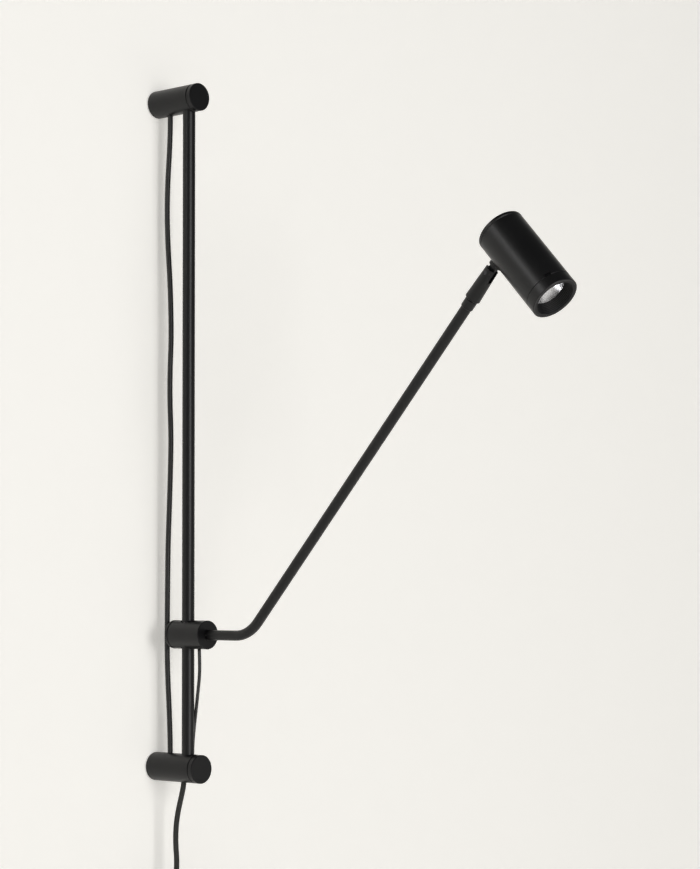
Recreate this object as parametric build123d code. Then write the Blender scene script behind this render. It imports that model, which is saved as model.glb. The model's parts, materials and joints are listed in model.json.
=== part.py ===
from build123d import *
from math import cos, pi, radians, sin, sqrt, tan
import os

# Pivoting spotlight wall light, in millimetres.
#
# Two short brackets stand out from the wall and hold an upright pole. A clamp slides and turns on the
# pole and carries a bent arm. A swivelling, tilting knuckle at the arm's end holds a small spotlight.
#
# Frame: the wall is the plane Y = 0, the light reaches out along -Y, and Z points up. The origin is on
# the wall, midway between the wall screws of the two brackets.

# ---------------------------------------------------------------- driving dimensions
# Clearances and edges
FIT = 0.05  # radial, between pieces that seat or turn in one another
BODY_GAP = 0.3  # between faces of pieces that move past each other
SEAM = 0.6  # width of the shadow gaps between caps and bodies
EDGE = 0.6  # chamfer on the turned edges that show
FINE_EDGE = 0.3  # chamfer on thin or small edges
SCREW_SINK = 1.0  # how far a grub screw's outer end lies below the surface
PAST = 1.0  # how far a cut runs past the faces that it opens

# Brackets and pole
BRACKET_SPACING = 750.0  # between the two wall screws
POLE_OFFSET = 53.0  # pole axis from the wall
POLE_D = 14.0
POLE_WALL = 1.5
UPPER_BRACKET_D = 31.0
LOWER_BRACKET_D = 32.0
UPPER_BRACKET_LENGTH = 70.0
LOWER_BRACKET_LENGTH = 75.0
BRACKET_WALL = 3.0
BRACKET_WALL_GAP = 0.5  # shadow gap between bracket and wall
CHAMBER_DEPTH = 40.0  # hollow behind the pole, from the wall
CAP_T = 6.0
CAP_SPIGOT = 2.6
BOSS_LENGTH = 14.0
WALL_SCREW_HOLE_D = 5.0
WALL_SCREW_HEAD_D = 9.4
BOSS_GRUB_D = 4.0
BOSS_GRUB_OUT = 7.0  # from the wall
BOSS_GRUB_BITE = 1.5  # how far it reaches into the boss
POLE_GRUB_D = 5.0
POLE_GRUB_LENGTH = 5.5
POLE_GRUB_RISE = 7.0  # from the bracket's axis, towards the pole

# Leads, grommets and terminal block
MAINS_D = 6.0
RISER_D = 6.0
LAMP_LEAD_D = 3.8
GROMMET_WALL = 1.1
GROMMET_DEPTH = 4.0
GROMMET_SINK = 0.2  # how far a grommet's face lies inside the round surface
RISER_TOP_OUT = 22.0  # riser lead's axis from the wall, at the upper bracket
RISER_BOTTOM_OUT = 24.0
MAINS_OUT = 46.6
MAINS_GLAND_DEPTH = 9.0
LAMP_LEAD_SIDE = 10.4  # lamp lead's entry, off the bracket's middle
LAMP_LEAD_OUT = 49.5
TERMINAL_W = 15.0
TERMINAL_L = 16.0
TERMINAL_H = 11.0
TERMINAL_OUT = 27.0
TERMINAL_SCREW_D = 3.6
TERMINAL_SCREW_DEPTH = 5.5
TERMINAL_SCREW_SPACING = 7.5

# Clamp
CLAMP_RISE = 149.0  # clamp's axis above the lower bracket's axis
CLAMP_D = 32.0
CLAMP_FRONT = 32.0  # front face, from the pole's axis
CLAMP_BACK = 17.5
CLAMP_CAP_T = 4.6
CLAMP_CAP_SPIGOT = 4.0
CLAMP_WALL = 5.0
SLEEVE_WALL = 1.5
SLEEVE_LENGTH = 25.0
SHOE_CLEARANCE = 0.4  # cap spigot to friction shoe
CLAMP_LEAD_FRONT = 18.0  # lamp lead's entry, from the pole's axis
CLAMP_LEAD_HOLE_D = 4.9  # from the grommet up into the arm's socket
SOCKET_FLOOR = 11.0  # arm socket's floor, from the pole's axis
ARM_GRUB_D = 4.0
ARM_GRUB_FRONT = 28.0

# Arm
ARM_D = 11.3
ARM_WALL = 1.0
ARM_END_FRONT = 25.0  # arm tube's inner end, from the pole's axis
ARM_REACH = 96.2  # where the two straight stretches would meet, from the pole's axis
ARM_RISE_ANGLE = 47.1  # of the sloping stretch, above level
ARM_BEND_R = 46.0
ARM_LEAD_BEND_R = 7.0

# Knuckle, measured up the sloping stretch from where the two stretches would meet
COLLAR_FROM = 456.2
COLLAR_TO = 466.2
COLLAR_D = 13.2
SWIVEL_GAP = 0.8  # shadow gap between collar and barrel
COLLAR_SEAT = 6.0  # depth of the arm tube in the collar
BARREL_TO = 505.6
BARREL_D = 16.4
BARREL_TIP_D = 13.8
BARREL_TIP_EDGE = 1.0
TILT_PIVOT = 499.5
TILT_PIN_D = 4.0
TILT_PIN_SINK = 0.4  # below the barrel's surface
STUD_D = 8.0
STUD_BORE = 4.8
STUD_DOWN = 14.0  # reach of the stud below the collar's top
STUD_RING_T = 3.0
STUD_FLANGE_D = 10.4
STUD_FLANGE_T = 2.0
POCKET_D = 11.2
POCKET_DEPTH = 6.5
WIRE_HOLE_D = 4.4
SLOT_W = 4.6
SLOT_DEPTH = 7.5  # below the tilt pivot
TONGUE_T = 4.0
TONGUE_W = 9.0

# Spotlight, measured along its axis from the rear
HEAD_D = 50.5
HEAD_LENGTH = 100.8
HEAD_TILT = 4.2  # beyond square to the arm
HEAD_WALL = 2.2
NECK_AT = 21.0  # neck's axis from the rear
NECK_REACH = 39.0  # tilt pivot to the spotlight's axis
NECK_DISC_D = 14.0
NECK_DISC_T = 3.6
NECK_SADDLE = 0.9  # how far the disc's hollowed rim rises round the housing
NECK_STUD_D = 6.0
NECK_STUD_IN = 5.0  # beyond the housing's inner wall
NECK_NUT_AF = 10.0  # across flats
NECK_NUT_T = 3.0
REAR_CAP_T = 4.0
REAR_CAP_SPIGOT = 5.0
HEAD_SEAM = 0.3
SINK_FROM = 32.0
SINK_TO = 58.0
SINK_BASE_T = 5.0
SINK_FINS = 16
SINK_SLOT_W = 2.6
SINK_CORE_D = 18.0
BOARD_D = 28.0
BOARD_T = 1.6
LED_D = 11.0
LED_T = 1.2
RING_LENGTH = 11.4
RING_WALL = 2.0
RING_SPIGOT = 4.5
RING_SHOULDER = 1.4
RING_THROAT_D = 43.0
MOUTH_D = 34.8  # the reflector's open end
MOUTH_DEPTH = 12.0  # behind the ring's front edge
REFLECTOR_WALL = 1.0
REFLECTOR_FLANGE_D = 42.6
REFLECTOR_THROAT_D = 12.4
BOWL_STEPS = 6  # straight steps of the reflector's curve
BAFFLE_RIBS = 7
BAFFLE_BACK_T = 0.6
BAFFLE_MOUTH_D = 41.6
BAFFLE_RECESS = 0.2  # behind the ring's front edge
RIB_DEPTH = 0.7
RIB_START = 0.35  # of a rib's step, where its face begins to rise
RIB_TOP = 0.5  # of a rib's step, where it is highest
NOTCH_W = 7.4
NOTCH_LENGTH = 2.6
NOTCH_ANGLE = 135.0  # round the spotlight, from +X towards its upper side
LATCH_T = 1.0
LATCH_W = 6.4
LATCH_LENGTH = 1.3

# Hank of spare mains cord, its tie and its plug
HANK_LOOPS = 5
HANK_PITCH = 6.7
HANK_RUN = 92.0
HANK_WAIST_HALF_W = 32.6  # outermost side from the hank's middle, at the tie
HANK_WAIST_L = 24.0
HANK_FLARE = 5.5  # degrees by which the sides open above and below the waist
HANK_SHARE = 0.49  # of a run that each of its two arcs takes
HANK_LEAD_IN = 20.0  # first run, down to the waist
HANK_APPROACH = 11.0  # straight end of the cord above that run, in line with it
HANK_X = 18.0
HANK_OUT = 44.4  # first layer from the wall
HANK_TOP = -510.0  # centre of the uppermost fold
TIE_T = 1.2
TIE_W = 10.0
TIE_CLEARANCE = 0.3
PLUG_PLACE = Vector(-34.0, -57.6, -668.0)  # top of the plug's neck
PLUG_W = 26.0
PLUG_T = 14.0
PLUG_L = 38.0
PLUG_TAPER_L = 22.0
PLUG_CORNER_R = 4.9
PLUG_NECK_D = 9.0
PIN_D = 4.0
PIN_L = 19.0
PIN_SPACING = 18.6
PIN_EDGE = 0.5

# ---------------------------------------------------------------- derived places
UPPER_Z = BRACKET_SPACING / 2
LOWER_Z = -BRACKET_SPACING / 2
CLAMP_Z = LOWER_Z + CLAMP_RISE
POLE_R = POLE_D / 2
ARM_R = ARM_D / 2
HEAD_R = HEAD_D / 2
HEAD_BORE_R = HEAD_R - HEAD_WALL
SLEEVE_R = POLE_R + FIT + SLEEVE_WALL
RISE = radians(ARM_RISE_ANGLE)
DROOP = radians(90 - ARM_RISE_ANGLE + HEAD_TILT)
RIGHT = (1, 0, 0)
OUTWARD = (0, -1, 0)
CORNER = Vector(0, -POLE_OFFSET - ARM_REACH, CLAMP_Z)
UP_ARM = Vector(0, -cos(RISE), sin(RISE))
HEAD_AXIS = Vector(0, -cos(DROOP), -sin(DROOP))
NECK_AXIS = Vector(0, -sin(DROOP), cos(DROOP))
PIVOT = CORNER + UP_ARM * TILT_PIVOT
HEAD_REAR = PIVOT + NECK_AXIS * NECK_REACH - HEAD_AXIS * NECK_AT

clamp_plane = Plane(origin=(0, -POLE_OFFSET, CLAMP_Z), x_dir=RIGHT, z_dir=OUTWARD)
arm_plane = Plane(origin=CORNER, x_dir=RIGHT, z_dir=UP_ARM)
head_plane = Plane(origin=HEAD_REAR, x_dir=RIGHT, z_dir=HEAD_AXIS)
neck_plane = Plane(origin=PIVOT, x_dir=RIGHT, z_dir=NECK_AXIS)
across = Plane(origin=(0, 0, 0), x_dir=(0, 1, 0), z_dir=RIGHT)

parts = {}


# ---------------------------------------------------------------- helpers
def rod(radius, start, end, bore=0.0):
    """A round bar or tube on the local Z axis, from start to end."""
    base = (Align.CENTER, Align.CENTER, Align.MIN)
    solid = Pos(0, 0, start) * Cylinder(radius, end - start, align=base)
    if bore:
        solid -= Pos(0, 0, start - PAST) * Cylinder(bore, end - start + 2 * PAST, align=base)
    return solid


def turned(profile):
    """A solid turned about the local Z axis from (radius, height) points."""
    outline = Plane.XZ * make_face(Polyline(*profile, close=True))
    return revolve(outline, Axis.Z, 360)


def block(size, centre):
    """A box of the given size about a centre."""
    return Pos(*centre) * Box(*size)


def soften(solid, radius, length=EDGE):
    """Chamfers the round edges of the given radius."""
    edges = [e for e in solid.edges().filter_by(GeomType.CIRCLE) if abs(e.radius - radius) < FIT / 10]
    return chamfer(edges, length)


def upright(x, out, z0, z1, radius):
    """An upright round bar between two heights, at a distance out from the wall."""
    return Pos(x, -out, min(z0, z1)) * rod(radius, 0, abs(z1 - z0))


def surface_rise(radius, x):
    """Height of a level cylinder's surface above its axis, at a distance x from its middle."""
    return sqrt(radius**2 - x**2)


def grommet_at(x, out, face, way, lead_d, depth=GROMMET_DEPTH):
    """A bush round an upright lead: its face at a height, its body going the given way, +1 up or -1 down."""
    bush = upright(x, out, face, face + way * depth, lead_d / 2 + GROMMET_WALL)
    return bush - upright(x, out, face - way * PAST, face + way * (depth + PAST), lead_d / 2 + FIT)


def turn_at(before, point, after):
    """The turn of a route at a point, in radians."""
    into = Vector(*point) - Vector(*before)
    out = Vector(*after) - Vector(*point)
    return radians(into.get_angle(out))


def route(points, share=0.45):
    """A path of straight runs joined by tangent arcs as large as the runs allow, and its radii."""
    radii = []
    for before, point, after in zip(points, points[1:], points[2:]):
        shorter = min((Vector(*point) - Vector(*before)).length, (Vector(*after) - Vector(*point)).length)
        radii.append(share * shorter / tan(turn_at(before, point, after) / 2))
    return FilletPolyline(*points, radius=radii), radii


def tube_along(path, radius):
    """A round cord along a path."""
    return sweep(Plane(origin=path @ 0, z_dir=path % 0) * Circle(radius), path)


def report_cord(name, path, radii, solid, radius):
    """Prints a cord's length, tightest arc and how its volume compares with its section times its length."""
    ratio = solid.volume / (pi * radius**2 * path.length)
    print(f"{name}: length {path.length:.1f}, tightest arc {min(radii):.1f}, volume ratio {ratio:.4f}")


# ---------------------------------------------------------------- brackets
RISER_HOLE_R = RISER_D / 2 + GROMMET_WALL


def riser_face(axis_z, diameter, inward):
    """Height of the face of a bracket's riser grommet."""
    return axis_z + inward * (surface_rise(diameter / 2, RISER_HOLE_R) - GROMMET_SINK)


def bracket(name, axis_z, diameter, length, inward, riser_out):
    """One wall bracket: boss, body and front cap. inward is +1 where the pole rises and -1 where it drops."""
    radius = diameter / 2
    bore = radius - BRACKET_WALL
    plane = Plane(origin=(0, 0, axis_z), x_dir=RIGHT, z_dir=OUTWARD)
    front = length - CAP_T
    web_front = front - CAP_SPIGOT - BODY_GAP
    inside = axis_z + inward * diameter
    outside = axis_z - inward * diameter

    body = soften(rod(radius, BRACKET_WALL_GAP, front - SEAM), radius)
    body -= rod(bore, 0, CHAMBER_DEPTH)
    body -= rod(bore, web_front, length)
    body -= Pos(0, inward * POLE_GRUB_RISE, 0) * rod(POLE_GRUB_D / 2 + FIT, CHAMBER_DEPTH - PAST, POLE_OFFSET)
    body = plane * body
    body -= upright(0, POLE_OFFSET, axis_z, inside, POLE_R + FIT)
    body -= upright(0, riser_out, axis_z, inside, RISER_HOLE_R + FIT)
    body -= upright(0, BOSS_GRUB_OUT, axis_z, outside, BOSS_GRUB_D / 2 + FIT)

    boss_r = bore - FIT
    hole_r = WALL_SCREW_HOLE_D / 2
    head_r = WALL_SCREW_HEAD_D / 2
    cone_top = BOSS_LENGTH - (head_r - hole_r)
    cone_foot = cone_top - (head_r - hole_r)
    grub_tip = axis_z - inward * (bore - BOSS_GRUB_BITE)
    boss = soften(rod(boss_r, 0, BOSS_LENGTH, hole_r), boss_r)
    boss -= turned([(0, cone_foot), (hole_r, cone_foot), (head_r, cone_top), (head_r, BOSS_LENGTH + PAST),
                    (0, BOSS_LENGTH + PAST)])
    boss = plane * boss
    boss -= upright(0, BOSS_GRUB_OUT, grub_tip, outside, BOSS_GRUB_D / 2 + FIT)

    cap = soften(rod(radius, front, length), radius)
    cap += rod(boss_r, front - CAP_SPIGOT, front)

    parts[f"{name}_wall_boss"] = boss
    parts[f"{name}_bracket_body"] = body
    parts[f"{name}_bracket_cap"] = plane * cap

    boss_grub = upright(0, BOSS_GRUB_OUT, grub_tip, axis_z - inward * (radius - SCREW_SINK), BOSS_GRUB_D / 2)
    pole_back = POLE_OFFSET - POLE_R
    pole_grub = rod(POLE_GRUB_D / 2, pole_back - POLE_GRUB_LENGTH, pole_back)
    pole_grub = plane * Pos(0, inward * POLE_GRUB_RISE, 0) * pole_grub
    grommet = grommet_at(0, riser_out, riser_face(axis_z, diameter, inward), -inward, RISER_D)
    return boss_grub, pole_grub, grommet


upper_boss_grub, upper_pole_grub, upper_grommet = bracket(
    "upper", UPPER_Z, UPPER_BRACKET_D, UPPER_BRACKET_LENGTH, -1, RISER_TOP_OUT)
lower_boss_grub, lower_pole_grub, lower_grommet = bracket(
    "lower", LOWER_Z, LOWER_BRACKET_D, LOWER_BRACKET_LENGTH, 1, RISER_BOTTOM_OUT)
parts["boss_grub_screws"] = Compound([upper_boss_grub, lower_boss_grub])
parts["pole_grub_screws"] = Compound([upper_pole_grub, lower_pole_grub])
parts["riser_grommets"] = Compound([upper_grommet, lower_grommet])
parts["pole"] = Pos(0, -POLE_OFFSET, 0) * rod(POLE_R, LOWER_Z, UPPER_Z, POLE_R - POLE_WALL)

# The lower bracket also takes the mains cord from below and the lamp's lead from above.
lower_r = LOWER_BRACKET_D / 2
lower_bore = lower_r - BRACKET_WALL
gland_r = MAINS_D / 2 + GROMMET_WALL
gland_face = LOWER_Z - surface_rise(lower_r, gland_r) + GROMMET_SINK
gland_top = gland_face + MAINS_GLAND_DEPTH
lamp_hole_r = LAMP_LEAD_D / 2 + GROMMET_WALL
lamp_face = LOWER_Z + surface_rise(lower_r, LAMP_LEAD_SIDE + lamp_hole_r) - GROMMET_SINK
lamp_foot = lamp_face - GROMMET_DEPTH
lower_body = parts["lower_bracket_body"]
lower_body -= upright(0, MAINS_OUT, LOWER_Z - LOWER_BRACKET_D, gland_top, gland_r + FIT)
lower_body -= upright(LAMP_LEAD_SIDE, LAMP_LEAD_OUT, lamp_foot, LOWER_Z + LOWER_BRACKET_D, lamp_hole_r + FIT)
channel_l = MAINS_OUT - CHAMBER_DEPTH + PAST
channel_centre = (0, -(CHAMBER_DEPTH - PAST + channel_l / 2), gland_top - gland_r / 2)
lower_body -= block((2 * gland_r, channel_l, gland_r), channel_centre)
parts["lower_bracket_body"] = lower_body
parts["mains_gland"] = grommet_at(0, MAINS_OUT, gland_face, 1, MAINS_D, MAINS_GLAND_DEPTH)
parts["lamp_lead_grommet"] = grommet_at(LAMP_LEAD_SIDE, LAMP_LEAD_OUT, lamp_face, -1, LAMP_LEAD_D)

terminal_floor = LOWER_Z - surface_rise(lower_bore, TERMINAL_W / 2) + FIT
terminal_top = terminal_floor + TERMINAL_H
terminal = block((TERMINAL_W, TERMINAL_L, TERMINAL_H), (0, -TERMINAL_OUT, terminal_floor + TERMINAL_H / 2))
for side in (-1, 1):
    screw_x = side * TERMINAL_SCREW_SPACING / 2
    terminal -= upright(screw_x, TERMINAL_OUT, terminal_top - TERMINAL_SCREW_DEPTH, terminal_top + PAST,
                        TERMINAL_SCREW_D / 2)
parts["terminal_block"] = terminal

# ---------------------------------------------------------------- clamp
clamp_r = CLAMP_D / 2
clamp_bore = clamp_r - CLAMP_WALL
clamp_under = CLAMP_Z - CLAMP_D
clamp_lead_out = POLE_OFFSET + CLAMP_LEAD_FRONT
clamp_face = CLAMP_Z - surface_rise(clamp_r, lamp_hole_r) + GROMMET_SINK
arm_grub_out = POLE_OFFSET + ARM_GRUB_FRONT
cross_bore = upright(0, POLE_OFFSET, clamp_under, CLAMP_Z + CLAMP_D, SLEEVE_R + FIT)

sleeve = rod(SLEEVE_R, -SLEEVE_LENGTH / 2, SLEEVE_LENGTH / 2, POLE_R + FIT)
parts["clamp_sleeve"] = Pos(0, -POLE_OFFSET, CLAMP_Z) * sleeve

clamp = soften(rod(clamp_r, -CLAMP_BACK, CLAMP_FRONT), clamp_r)
clamp -= rod(clamp_bore, -CLAMP_BACK - PAST, 0)
clamp -= rod(ARM_R + FIT, SOCKET_FLOOR, CLAMP_FRONT + PAST)
clamp = clamp_plane * clamp - cross_bore
clamp -= upright(0, clamp_lead_out, clamp_under, clamp_face + GROMMET_DEPTH, lamp_hole_r + FIT)
clamp -= upright(0, clamp_lead_out, clamp_under, CLAMP_Z, CLAMP_LEAD_HOLE_D / 2)
clamp -= upright(0, arm_grub_out, clamp_under, CLAMP_Z, ARM_GRUB_D / 2 + FIT)
parts["clamp_body"] = clamp
parts["clamp_grommet"] = grommet_at(0, clamp_lead_out, clamp_face, 1, LAMP_LEAD_D)
arm_grub_foot = CLAMP_Z - clamp_r + SCREW_SINK
parts["arm_grub_screw"] = upright(0, arm_grub_out, arm_grub_foot, CLAMP_Z - ARM_R, ARM_GRUB_D / 2)

spigot_front = -CLAMP_BACK + CLAMP_CAP_SPIGOT
clamp_cap = soften(rod(clamp_r, -CLAMP_BACK - CLAMP_CAP_T, -CLAMP_BACK - SEAM), clamp_r)
clamp_cap += rod(clamp_bore - FIT, -CLAMP_BACK - SEAM, spigot_front)
parts["clamp_cap"] = clamp_plane * clamp_cap
shoe = rod(clamp_bore - FIT, spigot_front + SHOE_CLEARANCE, 0)
parts["friction_shoe"] = clamp_plane * shoe - cross_bore

# ---------------------------------------------------------------- arm
arm_start = Vector(0, -POLE_OFFSET - ARM_END_FRONT, CLAMP_Z)
arm_end = CORNER + UP_ARM * (COLLAR_FROM + COLLAR_SEAT)
arm_path = FilletPolyline(arm_start, CORNER, arm_end, radius=ARM_BEND_R)
ring_face = Circle(ARM_R) - Circle(ARM_R - ARM_WALL)
parts["arm_tube"] = sweep(Plane(origin=arm_start, z_dir=OUTWARD) * ring_face, arm_path)

collar = soften(rod(COLLAR_D / 2, COLLAR_FROM, COLLAR_TO, STUD_D / 2 + FIT), COLLAR_D / 2, FINE_EDGE)
collar -= rod(ARM_R + FIT, COLLAR_FROM - PAST, COLLAR_FROM + COLLAR_SEAT)
parts["arm_collar"] = arm_plane * collar

barrel_from = COLLAR_TO + SWIVEL_GAP
stud_bottom = COLLAR_TO - STUD_DOWN
flange_from = barrel_from + STUD_RING_T + FIT
stud_top = flange_from + STUD_FLANGE_T
stud = rod(STUD_D / 2, stud_bottom, flange_from, STUD_BORE / 2)
stud += rod(STUD_FLANGE_D / 2, flange_from, stud_top, STUD_BORE / 2)
parts["swivel_stud"] = arm_plane * stud

lead_foot = Vector(0, -clamp_lead_out, clamp_face)
lead_elbow = Vector(0, -clamp_lead_out, CLAMP_Z)
lead_top = CORNER + UP_ARM * (stud_top - FIT)
arm_lead_path = FilletPolyline(lead_foot, lead_elbow, CORNER, lead_top, radius=[ARM_LEAD_BEND_R, ARM_BEND_R])
parts["arm_lead"] = tube_along(arm_lead_path, LAMP_LEAD_D / 2)

# ---------------------------------------------------------------- knuckle
barrel_r = BARREL_D / 2
tip_r = BARREL_TIP_D / 2
pocket_top = barrel_from + POCKET_DEPTH
slot_floor = TILT_PIVOT - SLOT_DEPTH
slot_h = BARREL_TO - slot_floor + PAST
pin_plane = Plane(origin=(0, 0, TILT_PIVOT), x_dir=(0, 1, 0), z_dir=RIGHT)
barrel = turned([(0, barrel_from), (barrel_r - EDGE, barrel_from), (barrel_r, barrel_from + EDGE),
                 (tip_r, BARREL_TO - BARREL_TIP_EDGE), (tip_r - BARREL_TIP_EDGE, BARREL_TO), (0, BARREL_TO)])
barrel -= rod(POCKET_D / 2, barrel_from - PAST, pocket_top)
barrel -= rod(WIRE_HOLE_D / 2, pocket_top - PAST, BARREL_TO)
barrel -= block((SLOT_W, BARREL_D + PAST, slot_h), (0, 0, slot_floor + slot_h / 2))
barrel -= pin_plane * rod(TILT_PIN_D / 2 + FIT, -BARREL_D, BARREL_D)
parts["knuckle_barrel"] = arm_plane * barrel

swivel_ring = rod(POCKET_D / 2 - FIT, barrel_from, barrel_from + STUD_RING_T, STUD_D / 2 + FIT)
parts["swivel_ring"] = arm_plane * swivel_ring
taper_share = (TILT_PIVOT - barrel_from) / (BARREL_TO - barrel_from)
pin_half = barrel_r - (barrel_r - tip_r) * taper_share - TILT_PIN_SINK
tilt_pin = pin_plane * rod(TILT_PIN_D / 2, -pin_half, pin_half)
parts["tilt_pin"] = arm_plane * tilt_pin
parts["barrel_lead"] = arm_plane * rod(LAMP_LEAD_D / 2, stud_top + BODY_GAP, slot_floor - BODY_GAP)

disc_bottom = NECK_REACH - HEAD_R - NECK_DISC_T
disc_top = NECK_REACH - HEAD_R + NECK_SADDLE
stud_end = NECK_REACH - HEAD_BORE_R + NECK_STUD_IN
tongue = block((TONGUE_T, TONGUE_W, disc_bottom), (0, 0, disc_bottom / 2))
tongue += across * rod(TONGUE_W / 2, -TONGUE_T / 2, TONGUE_T / 2)
tongue += rod(NECK_DISC_D / 2, disc_bottom, disc_top)
tongue += rod(NECK_STUD_D / 2, disc_bottom, stud_end)
tongue -= across * rod(TILT_PIN_D / 2 + FIT, -TONGUE_T, TONGUE_T)
head_round = head_plane * rod(HEAD_R, -PAST, HEAD_LENGTH)
neck_hole = neck_plane * rod(NECK_STUD_D / 2 + FIT, disc_bottom, NECK_REACH)
parts["neck_tongue"] = neck_plane * tongue - (head_round - neck_hole)

# ---------------------------------------------------------------- spotlight
ring_from = HEAD_LENGTH - RING_LENGTH
housing_to = ring_from - HEAD_SEAM
housing = soften(rod(HEAD_R, REAR_CAP_T + HEAD_SEAM, housing_to, HEAD_BORE_R), HEAD_R, FINE_EDGE)
notch_place = Rot(0, 0, NOTCH_ANGLE) * Pos(HEAD_BORE_R, 0, housing_to)
housing -= notch_place * block((4 * HEAD_WALL, NOTCH_W, 2 * NOTCH_LENGTH), (0, 0, 0))
parts["head_housing"] = head_plane * housing - neck_hole

rear_cap = soften(rod(HEAD_R, 0, REAR_CAP_T), HEAD_R)
rear_cap += rod(HEAD_BORE_R - FIT, REAR_CAP_T, REAR_CAP_T + REAR_CAP_SPIGOT, HEAD_BORE_R - HEAD_WALL)
parts["rear_cap"] = head_plane * rear_cap

nut_corner = NECK_NUT_AF / sqrt(3)
nut_from = NECK_REACH - surface_rise(HEAD_BORE_R, nut_corner)
nut = Pos(0, 0, nut_from) * extrude(RegularPolygon(nut_corner, 6), NECK_NUT_T)
nut -= rod(NECK_STUD_D / 2 + FIT, 0, NECK_REACH)
parts["neck_nut"] = neck_plane * nut

sink = rod(HEAD_BORE_R - FIT, SINK_FROM, SINK_TO)
slot_size = (HEAD_BORE_R - SINK_CORE_D / 2 + PAST, SINK_SLOT_W, SINK_TO - SINK_FROM - SINK_BASE_T + PAST)
slot_centre = (SINK_CORE_D / 2 + slot_size[0] / 2, 0, SINK_FROM - PAST + slot_size[2] / 2)
for fin in range(SINK_FINS):
    sink -= Rot(0, 0, 360 * fin / SINK_FINS) * block(slot_size, slot_centre)
parts["heat_sink"] = head_plane * sink
board_top = SINK_TO + BOARD_T
parts["led_board"] = head_plane * rod(BOARD_D / 2, SINK_TO, board_top)
parts["led_chip"] = head_plane * soften(rod(LED_D / 2, board_top, board_top + LED_T), LED_D / 2, FINE_EDGE)

mouth_at = HEAD_LENGTH - MOUTH_DEPTH
throat_r = REFLECTOR_THROAT_D / 2
mouth_r = MOUTH_D / 2
flange_r = REFLECTOR_FLANGE_D / 2
flange_back = mouth_at - REFLECTOR_WALL
bowl = [(throat_r + (mouth_r - throat_r) * sqrt(step / BOWL_STEPS),
         board_top + (mouth_at - board_top) * step / BOWL_STEPS) for step in range(BOWL_STEPS + 1)]
outer = [(r + REFLECTOR_WALL, z) for r, z in bowl[:-1]]
outer.append((mouth_r + REFLECTOR_WALL, flange_back))
parts["reflector"] = head_plane * turned(bowl + [(flange_r, mouth_at), (flange_r, flange_back)] + outer[::-1])

shoulder_top = ring_from + RING_SHOULDER
ring_throat_r = RING_THROAT_D / 2
ring_bore = HEAD_R - RING_WALL
spigot_r = HEAD_BORE_R - FIT
ring = turned([(ring_throat_r, ring_from - RING_SPIGOT), (spigot_r, ring_from - RING_SPIGOT),
               (spigot_r, ring_from), (HEAD_R - FINE_EDGE, ring_from), (HEAD_R, ring_from + FINE_EDGE),
               (HEAD_R, HEAD_LENGTH - EDGE), (HEAD_R - EDGE, HEAD_LENGTH), (ring_bore, HEAD_LENGTH),
               (ring_bore, shoulder_top), (ring_throat_r, shoulder_top)])
parts["front_ring"] = head_plane * ring

baffle_r = ring_bore - FIT
baffle_front = HEAD_LENGTH - BAFFLE_RECESS
ribs_from = mouth_at + BAFFLE_BACK_T
rib_step = (baffle_front - ribs_from) / BAFFLE_RIBS
rib_grow = (BAFFLE_MOUTH_D / 2 - mouth_r) / BAFFLE_RIBS
baffle_throat_r = ring_throat_r - FIT
ribbed = [(baffle_r, baffle_front), (baffle_r, shoulder_top), (baffle_throat_r, shoulder_top),
          (baffle_throat_r, mouth_at), (mouth_r, mouth_at), (mouth_r, ribs_from)]
for rib in range(BAFFLE_RIBS):
    z = ribs_from + rib * rib_step
    r = mouth_r + (rib + 1) * rib_grow
    crest = RIB_DEPTH if rib < BAFFLE_RIBS - 1 else 0.0
    ribbed.append((r, z + rib_step * RIB_START))
    ribbed.append((r + crest, z + rib_step * RIB_TOP))
    ribbed.append((r, z + rib_step))
parts["baffle"] = head_plane * turned(ribbed)

latch_centre = (spigot_r - HEAD_BORE_R + LATCH_T / 2, 0, -NOTCH_LENGTH / 2)
latch = notch_place * block((LATCH_T, LATCH_W, LATCH_LENGTH), latch_centre)
parts["ring_latch"] = head_plane * (latch - rod(spigot_r, 0, HEAD_LENGTH))

# ---------------------------------------------------------------- leads outside the housings
RISER_ROUTE = [
    (0, -RISER_BOTTOM_OUT, riser_face(LOWER_Z, LOWER_BRACKET_D, 1) - GROMMET_DEPTH),
    (0, -RISER_BOTTOM_OUT, -355), (0, -23.6, -339), (0, -22.4, -314), (0, -20.0, -280), (0, -18.4, -243),
    (0, -18.7, -203), (0, -19.2, -160), (0, -19.8, -122), (0, -21.9, -80), (0, -23.4, -42), (0, -24.4, -4),
    (0, -22.3, 34), (0, -22.2, 68), (0, -24.3, 106), (0, -23.4, 146), (0, -21.6, 178), (0, -18.2, 216),
    (0, -16.8, 254), (0, -18.2, 289), (0, -20.6, 317), (0, -21.8, 340), (0, -RISER_TOP_OUT, 355),
    (0, -RISER_TOP_OUT, riser_face(UPPER_Z, UPPER_BRACKET_D, -1) + GROMMET_DEPTH)]
riser_path, riser_radii = route(RISER_ROUTE)
parts["riser_lead"] = tube_along(riser_path, RISER_D / 2)
report_cord("riser_lead", riser_path, riser_radii, parts["riser_lead"], RISER_D / 2)

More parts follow.
